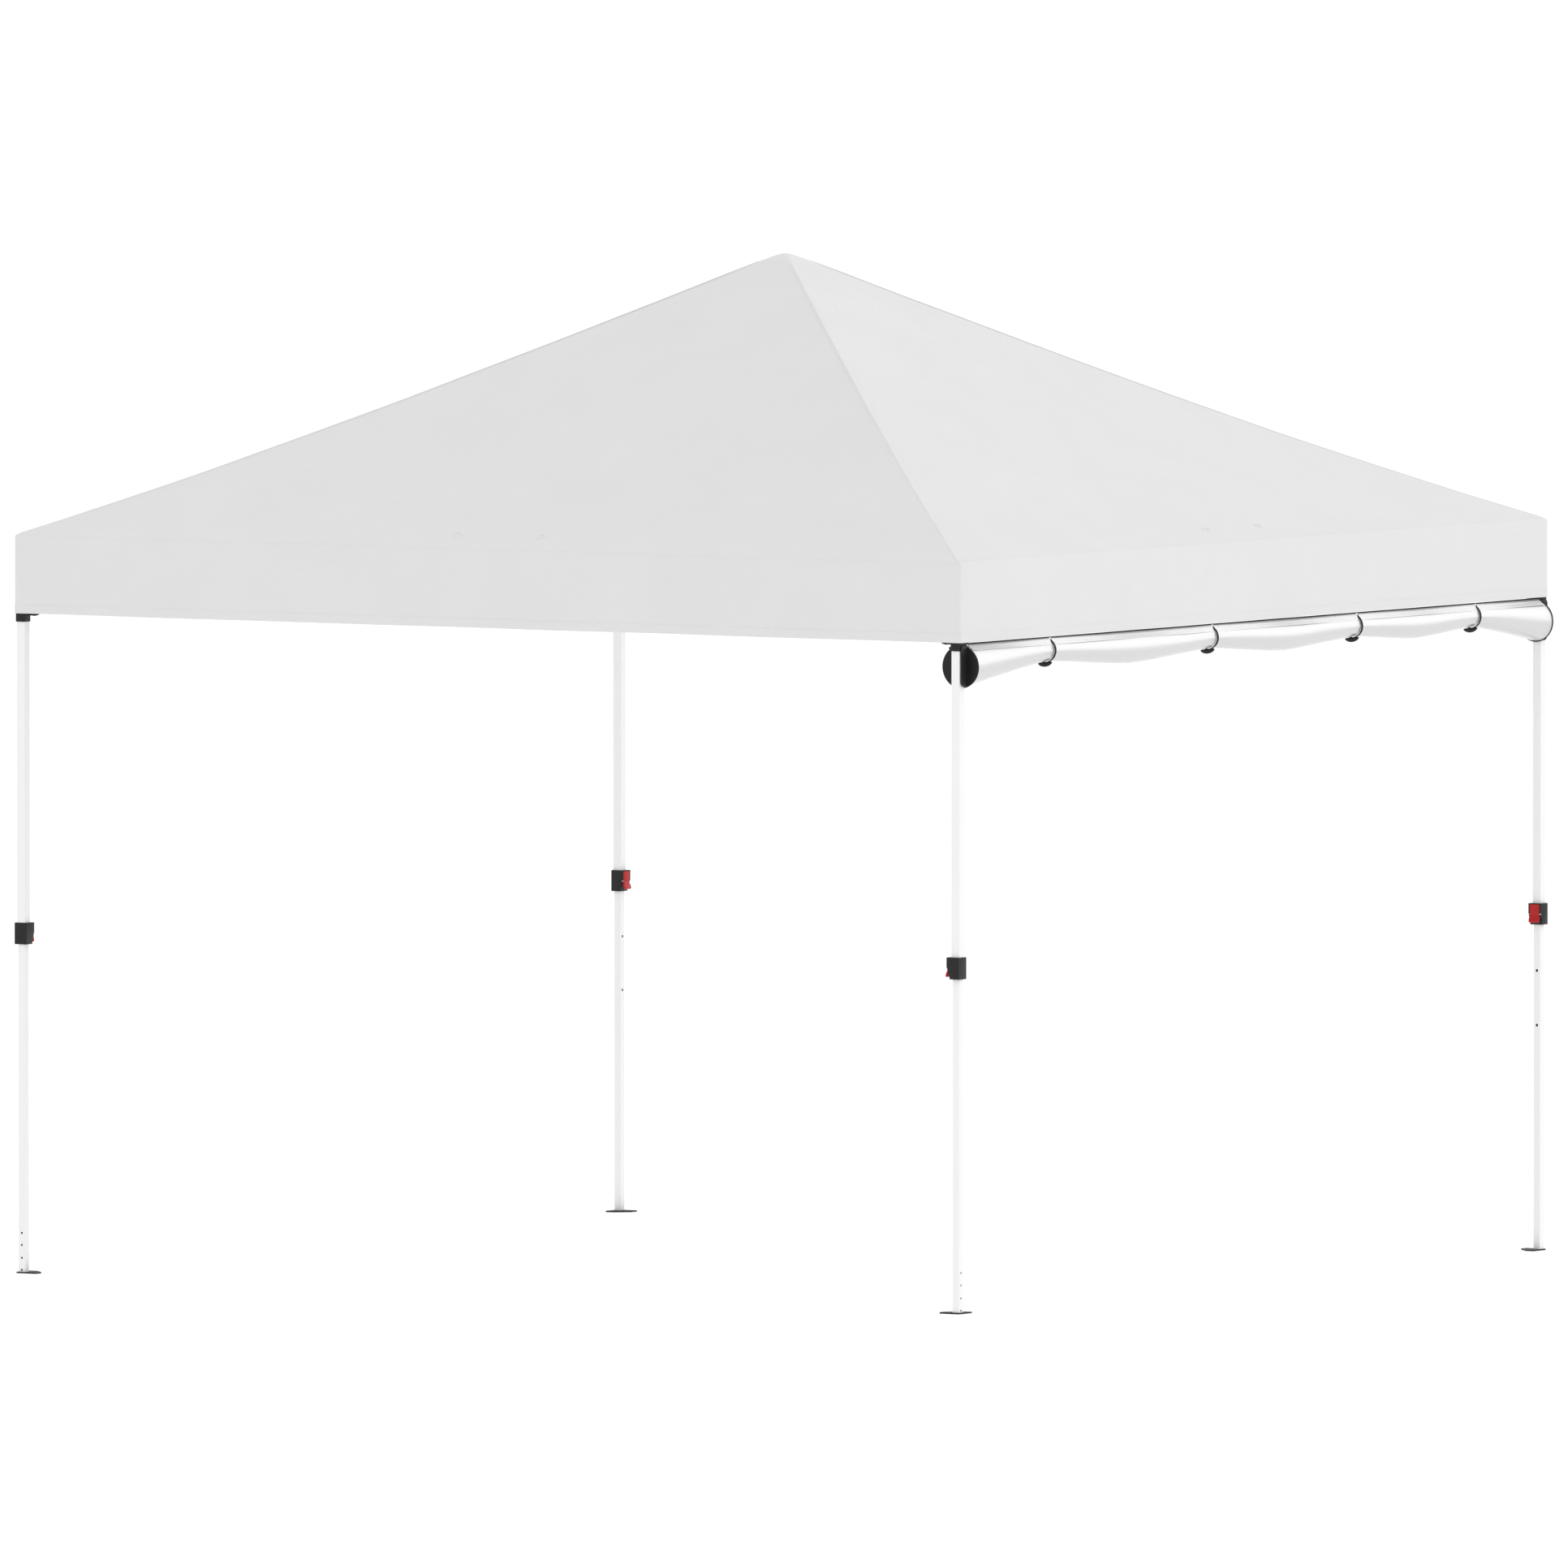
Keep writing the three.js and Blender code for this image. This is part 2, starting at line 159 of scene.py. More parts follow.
def tone(tree, shader, amount, low, high):
    """Lets amount, from 0 to 1, run the colour from low to high."""
    ramp = node(tree, "ShaderNodeValToRGB")
    ramp.color_ramp.elements[0].color = (*low, 1)
    ramp.color_ramp.elements[1].color = (*high, 1)
    tree.links.new(amount, ramp.inputs[0])
    tree.links.new(ramp.outputs[0], shader.inputs["Base Color"])


def roughness_from(tree, shader, amount, low, high):
    spread = node(tree, "ShaderNodeMapRange")
    spread.inputs["To Min"].default_value = low
    spread.inputs["To Max"].default_value = high
    tree.links.new(amount, spread.inputs["Value"])
    tree.links.new(spread.outputs["Result"], shader.inputs["Roughness"])


def cloth(name, low, high, roughness, pitch, relief, **sockets):
    material, tree, shader = principled(name, high, roughness, **sockets)
    weave = threads(tree, pitch)
    slubs = speckle(tree, 260.0, 4.0)
    mottle = speckle(tree, 5.0, 3.0)
    height = maths(tree, "ADD", weave, maths(tree, "MULTIPLY", slubs, 2.0))
    bump(tree, shader, height, relief, 0.6)
    blend = maths(tree, "ADD", maths(tree, "MULTIPLY", slubs, 0.5), maths(tree, "MULTIPLY", mottle, 0.5))
    tone(tree, shader, blend, low, high)
    return material


def moulded(name, low, high, roughness):
    material, tree, shader = principled(name, high, roughness)
    shader.inputs["Specular IOR Level"].default_value = 0.2
    bump(tree, shader, speckle(tree, 900.0, 2.0), 0.0001, 0.35)
    tone(tree, shader, speckle(tree, 60.0), low, high)
    roughness_from(tree, shader, speckle(tree, 120.0), roughness - 0.07, roughness + 0.07)
    return material


def painted(name, low, high):
    material, tree, shader = principled(name, high, 0.5)
    shader.inputs["Specular IOR Level"].default_value = 0.2
    bump(tree, shader, speckle(tree, 350.0, 2.0), 0.00008, 0.25)
    tone(tree, shader, speckle(tree, 9.0), low, high)
    roughness_from(tree, shader, speckle(tree, 45.0), 0.44, 0.58)
    return material


def plated(name, colour):
    material, tree, shader = principled(name, colour, 0.28, Metallic=1.0)
    bump(tree, shader, speckle(tree, 700.0, 2.0), 0.00005, 0.3)
    roughness_from(tree, shader, speckle(tree, 200.0), 0.2, 0.4)
    return material


def webbing(name, low, high):
    material, tree, shader = principled(name, high, 0.75)
    shader.inputs["Specular IOR Level"].default_value = 0.2
    bump(tree, shader, threads(tree, 0.0012), 0.00015, 0.8)
    tone(tree, shader, speckle(tree, 500.0), low, high)
    return material


def grey(value):
    return (value, value, value)


COVER = cloth("cover_polyester", grey(0.725), grey(0.794), 0.82, 0.0011, 0.00012)
SIDEWALL = cloth("sidewall_coated_polyester", grey(0.44), grey(0.465), 0.24, 0.0009, 0.00005,
                 **{"IOR": 2.4, "Specular IOR Level": 0.9,
                    "Coat Weight": 1.0, "Coat IOR": 2.0, "Coat Roughness": 0.20})
PAINT = painted("white_powder_coat", (0.845, 0.845, 0.84), (0.875, 0.875, 0.87))
BLACK = moulded("black_moulded_nylon", grey(0.013), grey(0.021), 0.45)
RED = moulded("red_moulded_nylon", (0.40, 0.012, 0.014), (0.47, 0.018, 0.020), 0.36)
NYLON = moulded("white_nylon_washer", grey(0.70), grey(0.76), 0.5)
STEEL = plated("zinc_plated_steel", (0.72, 0.72, 0.73))
STRAP = webbing("black_webbing", grey(0.011), grey(0.020))


# ---- building helpers ----
def mesh_piece(name, points, faces, material, smooth=True):
    mesh = bpy.data.meshes.new(name)
    mesh.from_pydata([tuple(p) for p in points], [], faces)
    mesh.validate()
    mesh.materials.append(material)
    if smooth:
        mesh.polygons.foreach_set("use_smooth", [True] * len(mesh.polygons))
    piece = bpy.data.objects.new(name, mesh)
    bpy.context.scene.collection.objects.link(piece)
    return piece


def face_outward(piece):
    work = bmesh.new()
    work.from_mesh(piece.data)
    bmesh.ops.recalc_face_normals(work, faces=work.faces)
    work.to_mesh(piece.data)
    work.free()


def plate(name, outline, low, high, across, material):
    """A flat plate: its outline is (along, z) points, and it lies from low to high on the axis across."""
    count = len(outline)
    points = []
    for height in (low, high):
        points += [(height, along, z) if across == "X" else (along, height, z) for along, z in outline]
    faces = [tuple(range(count)), tuple(range(2 * count - 1, count - 1, -1))]
    faces += [(k, (k + 1) % count, count + (k + 1) % count, count + k) for k in range(count)]
    piece = mesh_piece(name, points, faces, material, smooth=False)
    face_outward(piece)
    return piece


def grid_faces(rows, columns, closed):
    """Quads between rows of points; closed joins the last column to the first."""
    faces = []
    for row in range(rows - 1):
        for column in range(columns if closed else columns - 1):
            after = (column + 1) % columns
            faces.append((row * columns + column, row * columns + after,
                          (row + 1) * columns + after, (row + 1) * columns + column))
    return faces


def from_bmesh(name, mesh_data, material, smooth=True):
    bmesh.ops.recalc_face_normals(mesh_data, faces=mesh_data.faces)
    mesh = bpy.data.meshes.new(name)
    mesh_data.to_mesh(mesh)
    mesh_data.free()
    mesh.materials.append(material)
    mesh.polygons.foreach_set("use_smooth", [smooth] * len(mesh.polygons))
    piece = bpy.data.objects.new(name, mesh)
    bpy.context.scene.collection.objects.link(piece)
    return piece


def soft_edges(piece, width, segments=2, angle=35):
    bevel = piece.modifiers.new("soft_edges", "BEVEL")
    bevel.width = width
    bevel.segments = segments
    bevel.limit_method = "ANGLE"
    bevel.angle_limit = math.radians(angle)
    bevel.harden_normals = True


def moulded_copy(node_name, material, width, segments=2, smooth_angle=35):
    """The CAD solid with its edges rounded as the real part has them."""
    work = bmesh.new()
    work.from_mesh(frame["nodes"][node_name].data)
    bmesh.ops.remove_doubles(work, verts=work.verts, dist=1e-6)
    bmesh.ops.dissolve_limit(work, angle_limit=math.radians(1), verts=work.verts, edges=work.edges)
    bmesh.ops.connect_verts_concave(work, faces=work.faces)
    piece = from_bmesh(node_name + "_finished", work, material)
    soft_edges(piece, width, segments, smooth_angle)
    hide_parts(node_name)
    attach(piece, body_of_node[node_name])
    return piece


def turned(name, profile, centre, axis, material, segments=32):
    """A solid of revolution: profile is (radius, height along the axis) from end to end on the axis."""
    work = bmesh.new()
    rings = []
    for radius, height in profile:
        if radius < 1e-7:
            rings.append([work.verts.new((0, 0, height))])
            continue
        angles = [2 * math.pi * step / segments for step in range(segments)]
        rings.append([work.verts.new((radius * math.cos(a), radius * math.sin(a), height)) for a in angles])
    for low, high in zip(rings, rings[1:]):
        for step in range(segments):
            corners = [low[step % len(low)], low[(step + 1) % len(low)],
                       high[(step + 1) % len(high)], high[step % len(high)]]
            distinct = list(dict.fromkeys(corners))
            if len(distinct) > 2:
                work.faces.new(distinct)
    turn = Vector((0, 0, 1)).rotation_difference(Vector(axis)).to_matrix().to_4x4()
    work.transform(Matrix.Translation(centre) @ turn)
    return from_bmesh(name, work, material)


def joined(name, pieces):
    """One object from several, each keeping its own material."""
    work = bmesh.new()
    materials = []
    for piece in pieces:
        before = len(work.faces)
        work.from_mesh(piece.data)
        for material in piece.data.materials:
            if material not in materials:
                materials.append(material)
        work.faces.ensure_lookup_table()
        index = materials.index(piece.data.materials[0])
        for face in work.faces[before:]:
            face.material_index = index
        bpy.data.objects.remove(piece)
    mesh = bpy.data.meshes.new(name)
    work.to_mesh(mesh)
    work.free()
    for material in materials:
        mesh.materials.append(material)
    piece = bpy.data.objects.new(name, mesh)
    bpy.context.scene.collection.objects.link(piece)
    return piece


body_of_node = {n: b for b, ns in frame["record"]["behaviour"]["bodies"].items() for n in ns}

# ---- how cloth follows the fold: each corner's leg draws it in, by a hook with its own share ----
pull_points = {}
for corner in CORNERS:
    point = bpy.data.objects.new(f"pull_{corner}", None)
    bpy.context.scene.collection.objects.link(point)
    point.parent = bpy.data.objects[f"body:leg_{corner}"]
    pull_points[corner] = point


def drawn_in(piece, shares):
    """shares(x, y, z) gives {corner: share} of that leg's travel for each point of the piece."""
    wanted = {}
    for vertex in piece.data.vertices:
        for corner, share in shares(*(piece.matrix_world @ vertex.co)).items():
            if share > 1e-5:
                wanted.setdefault(corner, []).append((vertex.index, share))
    for corner, entries in wanted.items():
        group = piece.vertex_groups.new(name=f"pull_{corner}")
        for index, share in entries:
            group.add([index], share, "REPLACE")
        hook = piece.modifiers.new(f"pull_{corner}", "HOOK")
        hook.object = pull_points[corner]
        hook.vertex_group = group.name
        hook.falloff_type = "NONE"
        hook.matrix_inverse = Matrix.Identity(4)


STILL_SHARE = 0.05


def cover_shares(x, y, z):
    """Nothing moves round the peak; further out the cloth comes in with its side's corners, at any z."""
    reach = max(abs(x), abs(y), 1e-6)
    pull = min(1.0, max(0.0, (reach / HALF - STILL_SHARE) / (1 - STILL_SHARE)))
    if abs(y) >= abs(x):
        side = "front" if y < 0 else "back"
        right = (1 + x / reach) / 2
        return {f"{side}_right": pull * right, f"{side}_left": pull * (1 - right)}
    side = "right" if x > 0 else "left"
    back = (1 + y / reach) / 2
    return {f"back_{side}": pull * back, f"front_{side}": pull * (1 - back)}


OUTWARD_SHARE = 0.031


def roll_shares(share_of_back):
    """For what rides on the front right leg: part of it goes with the back leg, and all swings outside."""
    return {
        "back_right": share_of_back * (1 - OUTWARD_SHARE),
        "back_left": share_of_back * OUTWARD_SHARE,
        "front_left": (1 - share_of_back) * OUTWARD_SHARE,
    }


def along_roll(x, y, z):
    return roll_shares(min(1.0, max(0.0, (y + LEG_AT) / (2 * LEG_AT))))


# ---- the cover: one curved sheet, drawn ring by ring from the peak to the hem ----
SIDE_STEPS = 44
CORNER_STEPS = 4
CORNER_ROUND = 0.009


def square_ring(half, rounding):
    """Points round a square with rounded corners, from the middle of the right side anticlockwise."""
    rounding = min(rounding, half)
    flat = half - rounding
    points = []
    for quarter in range(4):
        turn = quarter * math.pi / 2
        side = [(half, flat * (2 * step / SIDE_STEPS - 1)) for step in range(SIDE_STEPS + 1)]
        arc = [(flat + rounding * math.cos(a), flat + rounding * math.sin(a))
               for a in (math.pi / 2 * step / CORNER_STEPS for step in range(1, CORNER_STEPS))]
        for x, y in side + arc:
            points.append((x * math.cos(turn) - y * math.sin(turn), x * math.sin(turn) + y * math.cos(turn)))
    return points


CAP_ROUND = 0.028
APEX_RISE = 0.008


def hip_height(reach):
    """Height over the middle of a panel or along a hip, by the distance from the mast to that ring."""
    share = 1 - reach / HALF
    sag = 4 * HIP_SAG * share * (1 - share) * (1 + LOW_SAG * (1 - 2 * share))
    return EAVE_Z + (PEAK_Z + APEX_RISE - EAVE_Z) * share - sag


def ring_height(reach):
    """The hip's line, rounded over the peak cap."""
    if reach >= CAP_ROUND:
        return hip_height(reach)
    slope = (hip_height(CAP_ROUND) - hip_height(CAP_ROUND + 0.001)) / 0.001
    top = hip_height(CAP_ROUND) + slope * CAP_ROUND / 2
    return top - slope * reach * reach / (2 * CAP_ROUND)


def ripple(x, y, z, scale, seed):
    return noise.noise(Vector((x * scale + seed, y * scale, z * scale)))


def roof_point(x, y, reach):
    """A panel sinks a little between its hips, with faint folds that fan out from the peak."""
    share = reach / HALF
    along = min(abs(x), abs(y)) / max(reach, 1e-6)
    z = ring_height(reach)
    z -= PANEL_SAG * (1 - along * along) * math.sin(math.pi * share)
    spread = math.atan2(y, x)
    fan = noise.noise(Vector((math.cos(spread) * 9, math.sin(spread) * 9, share * 1.5)))
    z += 0.0016 * fan * math.sin(math.pi * min(1.0, share * 1.05))
    z += 0.0010 * ripple(x, y, z, 4.5, 3.0)
    return (x, y, z)


def valance_point(x, y, drop):
    """The valance hangs straight, its hem swinging a little in and out between the corners."""
    along = min(abs(x), abs(y)) / HALF
    swing = (0.0022 * ripple(x, y, 0, 2.4, 11.0) + 0.0012 * ripple(x, y, drop, 7.0, 5.0)) * (drop / VALANCE)
    swing *= 1 - along ** 6
    normal = Vector((math.copysign(1, x), 0, 0)) if abs(x) >= abs(y) else Vector((0, math.copysign(1, y), 0))
    dip = 0.0012 * ripple(x, y, 0, 3.0, 8.0) * (drop / VALANCE)
    return (x + normal.x * swing, y + normal.y * swing, EAVE_Z - drop + dip)


def canopy_cover():
    rows = []
    edge = 0.006
    reaches = [0.003, 0.009, 0.016, 0.024, 0.034, 0.046, 0.062, 0.082, 0.106, 0.135]
    fine = reaches[-1]
    reaches += [fine + (HALF - fine - edge) * (step / 46) for step in range(1, 47)]
    for reach in reaches:
        squareness = min(1.0, max(0.0, (reach - 0.006) / 0.035))
        rounding = reach + (CORNER_ROUND - reach) * squareness if reach > CORNER_ROUND else reach
        rows.append([roof_point(x, y, reach) for x, y in square_ring(reach, rounding)])
    for angle in (0.25, 0.5, 0.75):
        out, down = math.sin(angle * math.pi / 2), 1 - math.cos(angle * math.pi / 2)
        half = HALF - edge + edge * out
        ring = square_ring(half, CORNER_ROUND)
        start = ring_height(HALF - edge)
        rows.append([(x, y, start - down * (start - EAVE_Z + edge)) for x, y in ring])
    hem_turn = 0.003
    drops = [edge + (VALANCE - edge - hem_turn) * step / 16 for step in range(17)]
    for drop in drops:
        rows.append([valance_point(x, y, drop) for x, y in square_ring(HALF, CORNER_ROUND)])
    columns = len(rows[0])
    points = [p for row in rows for p in row]
    faces = grid_faces(len(rows), columns, True)
    faces.append(tuple(range(columns)))
    cover = mesh_piece("cover_sheet", points, faces, COVER)
    work = bmesh.new()
    work.from_mesh(cover.data)
    bmesh.ops.recalc_face_normals(work, faces=work.faces)
    top = max(work.faces, key=lambda face: len(face.verts))
    bmesh.ops.poke(work, faces=[top])
    work.to_mesh(cover.data)
    work.free()
    thick = cover.modifiers.new("cloth", "SOLIDIFY")
    thick.thickness = 0.0007
    thick.offset = -1 if sum(p.normal.z for p in cover.data.polygons) > 0 else 1
    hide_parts("canopy_cover")
    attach(cover, body_of_node["canopy_cover"])
    drawn_in(cover, cover_shares)
    return cover


cover = canopy_cover()


# ---- sewn strips: felled seams down the hips and a hem, each a thin raised ribbon ----
def ribbon(name, paths, material, body="frame_top"):
    """A closed strip: each row of its paths is a ring of points round the strip's section."""
    points = []
    faces = []
    for path, closed in paths:
        first = len(points)
        for row in path:
            points.extend(row)
        count, around = len(path), len(path[0])
        for step in range(count if closed else count - 1):
            here, after = first + around * step, first + around * ((step + 1) % count)
            for edge in range(around):
                other = (edge + 1) % around
                faces.append((here + edge, here + other, after + other, after + edge))
        if not closed:
            faces.append(tuple(first + k for k in reversed(range(around))))
            faces.append(tuple(first + around * (count - 1) + k for k in range(around)))
    piece = mesh_piece(name, points, faces, material, smooth=False)
    face_outward(piece)
    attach(piece, body)
    return piece


SEAM_TOP = 0.050


def hip_seams():
    """A felled seam lies along each hip, 11 mm wide, standing just proud of the panels."""
    half_width, sunk = 0.0055, 0.0004
    paths = []
    for sx, sy in CORNERS.values():
        rows = []
        for step in range(73):
            reach = SEAM_TOP + (HALF - 0.012 - SEAM_TOP) * (step / 72) ** 1.4
            inset = half_width / math.sqrt(2)
            proud = 0.0007 * min(1.0, step / 8)
            centre = roof_point(sx * reach, sy * reach, reach)[2]
            a = (sx * (reach + inset), sy * (reach - inset))
            b = (sx * (reach - inset), sy * (reach + inset))
            low = centre - 0.0024
            rows.append([(*a, low + proud), (sx * reach, sy * reach, centre + proud), (*b, low + proud),
                         (sx * reach, sy * reach, low - sunk)])
        paths.append((rows, False))
    return ribbon("hip_seams", paths, COVER)


def hem_band():
    """The hem is turned up 24 mm and sewn, so it's thicker there, inside and out."""
    rows = []
    height, skin = 0.024, 0.0008
    for x, y in square_ring(HALF, CORNER_ROUND):
        low = valance_point(x, y, VALANCE - 0.0008)
        high = valance_point(x, y, VALANCE - height)
        reach = max(abs(x), abs(y))
        out = Vector((x, y, 0)) - Vector((math.copysign(max(abs(x) - CORNER_ROUND, 0), x),
                                         math.copysign(max(abs(y) - CORNER_ROUND, 0), y), 0))
        if abs(x) < reach - CORNER_ROUND:
            out.x = 0
        if abs(y) < reach - CORNER_ROUND:
            out.y = 0
        out.normalize()
        rows.append([tuple(Vector(high) + out * skin), tuple(Vector(low) + out * skin),
                     tuple(Vector(low) - out * (skin + 0.0007)), tuple(Vector(high) - out * (skin + 0.0007))])
    return ribbon("hem_band", [(rows, True)], COVER)


seams = [hip_seams(), hem_band()]
for seam in seams:
    drawn_in(seam, cover_shares)


# ---- eyelets: two near the eave of each roof panel ----
def eyelets():
    rings = []
    for quarter in range(4):
        turn = Matrix.Rotation(quarter * math.pi / 2, 3, "Z")
        for side in (-1, 1):
            place = turn @ Vector((HALF - 0.080, side * 0.130, 0))
            step = 0.002
            reach = max(abs(place.x), abs(place.y))
            place.z = roof_point(place.x, place.y, reach)[2]
            slope = (ring_height(reach - step) - ring_height(reach + step)) / (2 * step)
            normal = (turn @ Vector((slope, 0, 1))).normalized()
            profile = [(0.0075, -0.0012), (0.0135, -0.0012), (0.0140, 0.0000), (0.0135, 0.0012),
                       (0.0115, 0.0021), (0.0090, 0.0019), (0.0075, 0.0006), (0.0075, -0.0012)]
            rings.append(turned(f"eyelet_{quarter}_{side}", profile, place, normal, NYLON, 28))
    piece = joined("eyelets", rings)
    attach(piece, "frame_top")
    drawn_in(piece, cover_shares)
    return piece


grommets = eyelets()


# ---- camera, floor and light ----
VIEW_AZIMUTH = math.radians(32.417)
VIEW_ELEVATION = math.radians(3.093)
VIEW_DISTANCE = 91.52
SENSOR = 36.0
VIEW_WIDTH = 4.160834
target = Vector((0, 0, 1.270)) - 0.0024 * Vector((math.cos(VIEW_AZIMUTH), math.sin(VIEW_AZIMUTH), 0))
camera = bpy.data.objects.new("camera", bpy.data.cameras.new("camera"))
bpy.context.scene.collection.objects.link(camera)
away = Vector((math.sin(VIEW_AZIMUTH) * math.cos(VIEW_ELEVATION),
               -math.cos(VIEW_AZIMUTH) * math.cos(VIEW_ELEVATION), math.sin(VIEW_ELEVATION)))
camera.location = target + VIEW_DISTANCE * away
camera.rotation_euler = (-away).to_track_quat("-Z", "Y").to_euler()
camera.data.sensor_width = SENSOR
camera.data.lens = VIEW_DISTANCE * SENSOR / VIEW_WIDTH
camera.data.clip_start = 1.0
camera.data.clip_end = 1500.0
bpy.context.scene.camera = camera

floor_material, _, floor_shader = principled("pale_floor", grey(0.3), 0.9)
floor_shader.inputs["Emission Color"].default_value = (1, 1, 1, 1)
floor_shader.inputs["Emission Strength"].default_value = 0.76
floor_shader.inputs["Specular IOR Level"].default_value = 0.0
FLOOR_REACH = 500.0
floor = mesh_piece("floor", [(-FLOOR_REACH, -FLOOR_REACH, 0), (FLOOR_REACH, -FLOOR_REACH, 0),
                             (FLOOR_REACH, FLOOR_REACH, 0), (-FLOOR_REACH, FLOOR_REACH, 0)],
                   [(0, 1, 2, 3)], floor_material, smooth=False)

world = bpy.data.worlds.new("studio")
bpy.context.scene.world = world
world.use_nodes = True
world.node_tree.nodes["Background"].inputs["Color"].default_value = (1, 1, 1, 1)
world.node_tree.nodes["Background"].inputs["Strength"].default_value = 1.0
light = bpy.data.objects.new("side_light", bpy.data.lights.new("side_light", "SUN"))
bpy.context.scene.collection.objects.link(light)
light.data.energy = 0.6
light.data.angle = math.radians(60)
light.rotation_euler = Vector((0.56, 0.84, 0.36)).to_track_quat("Z", "Y").to_euler()
bpy.context.scene.view_settings.view_transform = "Standard"


# ---- frame: the CAD tubes keep their shape, moulded and bent pieces get their rounded edges ----
def dress(node_name, materials, pick):
    """Gives a CAD node its materials; pick(centre) says which one a face takes."""
    mesh = frame["nodes"][node_name].data
    mesh.materials.clear()
    for material in materials:
        mesh.materials.append(material)
    for polygon in mesh.polygons:
        polygon.material_index = pick(polygon.center)


BRACKET_LOW_Z = 1.8795
FOOT_TOP_Z = 0.0041
MAST_PLAIN_LOW_Z = 1.950
MAST_PLAIN_HIGH_Z = PEAK_Z - 0.0525
for corner in CORNERS:
    dress(f"upper_leg_{corner}", [PAINT, BLACK], lambda centre: int(centre.z > BRACKET_LOW_Z))
    dress(f"lower_leg_{corner}", [PAINT, BLACK], lambda centre: int(centre.z < FOOT_TOP_Z))
    moulded_copy(f"lock_housing_{corner}", BLACK, 0.0012, 3)
    moulded_copy(f"lock_lever_{corner}", RED, 0.0011, 3)
    moulded_copy(f"slider_{corner}", BLACK, 0.0007, 2)
    moulded_copy(f"slider_button_{corner}", BLACK, 0.0005, 2, 50)
    moulded_copy(f"roof_arm_outer_{corner}", PAINT, 0.0022, 3)
    moulded_copy(f"roof_arm_inner_{corner}", PAINT, 0.0022, 3)
dress("peak_mast", [PAINT, BLACK],
      lambda centre: int(not MAST_PLAIN_LOW_Z < centre.z < MAST_PLAIN_HIGH_Z))
for name in frame["nodes"]:
    if "_bar_" in name:
        moulded_copy(name, PAINT, 0.0028, 3)

# ---- webs: each sliding bracket's two lugs run down into its sleeve ----
# distance from the leg's axis, and height
WEB_SECTION = ((0.0140, 1.7411), (0.0382, 1.7397), (0.0395, 1.7440), (0.0140, 1.7785))
WEB_HALF = 0.0014


def slider_webs(corner, sx, sy):
    """Fills the corner between the sleeve and the bottom of each lug."""
    for name, across, along_sign, across_sign in (("side", "Y", sx, sy), ("end", "X", sy, sx)):
        outline = [(along_sign * (LEG_AT - reach), z) for reach, z in WEB_SECTION]
        low, high = across_sign * LEG_AT - WEB_HALF, across_sign * LEG_AT + WEB_HALF
        web = plate(f"slider_web_{name}_{corner}", outline, low, high, across, BLACK)
        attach(web, f"slider_{corner}")


for corner, (sx, sy) in CORNERS.items():
    slider_webs(corner, sx, sy)

# ---- rivets: one through every pivot, with a nylon washer where two bars meet without a lug ----
RIVET_HEAD = 0.0048
RIVET_SHANK = 0.0025
RIVET_DOME = 0.0021
WASHER = 0.0080


def rivet(name, centre, axis, grip, body, washer):
    profile = [(0, -grip - RIVET_DOME), (RIVET_HEAD * 0.5, -grip - RIVET_DOME * 0.9),
               (RIVET_HEAD * 0.85, -grip - RIVET_DOME * 0.5), (RIVET_HEAD, -grip), (RIVET_SHANK, -grip)]
    profile += [(radius, -height) for radius, height in reversed(profile)]
    solids = [turned(name + "_shank", profile, centre, axis, STEEL, 20)]
    if washer:
        flat, soft = LUG_GAP / 2 - 0.00005, 0.0005
        ring = [(RIVET_SHANK, -flat), (WASHER - soft, -flat), (WASHER, -flat + soft), (WASHER, flat - soft),
                (WASHER - soft, flat), (RIVET_SHANK, flat), (RIVET_SHANK, -flat)]
        solids.append(turned(name + "_washer", ring, centre, axis, NYLON, 24))
    piece = joined(name, solids)
    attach(piece, body)


def far_side(pos, axis):
    """The same pivot at the other end of a side: mirrored across the side's middle."""
    along = Vector((abs(axis[1]), abs(axis[0]), 0))
    return pos - 2 * along * pos.dot(along)


BAR_GRIP = 0.0121
ARM_GRIP = 0.0101
# the bar that carries the rivet at a pivot's mirrored place, for the pivots that have one
FAR_BAR = {"low_pivot_1": "rising_3", "top_pivot_1": "falling_3", "slider_pivot": "falling_3"}


def pivot_rivets(joint):
    name, place, axis = joint["name"], Vector(joint["pos_m"]), joint["axis"]
    side, _, ending = name.partition("_")
    if name == "fold" or side in ("hub", "knee", "corner"):
        rivet(f"rivet_{name}", place, axis, ARM_GRIP, joint["child"], "knee" in name)
        return
    between_bars = name.split("_")[1] not in ("start", "end", "slider")
    rivet(f"rivet_{name}", place, axis, BAR_GRIP, joint["child"], between_bars)
    if ending in FAR_BAR:
        rivet(f"rivet_{side}_far_{ending}", far_side(place, axis), axis, BAR_GRIP,
              f"{side}_{FAR_BAR[ending]}", between_bars)
    if ending == "cross_pivot_1":
        middle = (place + far_side(place, axis)) / 2
        rivet(f"rivet_{side}_cross_pivot_2", middle, axis, BAR_GRIP, f"{side}_falling_2", True)


joints = {joint["name"]: joint for joint in frame["record"]["behaviour"]["joints"]}
for name, joint in joints.items():
    if joint["type"] == "hinge" and not name.startswith("lever"):
        pivot_rivets(joint)

# ---- lock details: each lever's steel hinge pin, through both cheeks ----
PIN_REACH = LOCK_SIZE / 2 + 0.0002
PIN_PROFILE = [(0, -PIN_REACH), (0.0010, -PIN_REACH), (0.0014, -PIN_REACH + 0.0004),
               (0.0014, PIN_REACH - 0.0004), (0.0010, PIN_REACH), (0, PIN_REACH)]
for corner in CORNERS:
    lever = joints[f"lever_{corner}"]
    pin = turned(f"lever_pin_{corner}", PIN_PROFILE, lever["pos_m"], lever["axis"], STEEL, 20)
    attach(pin, f"leg_{corner}")

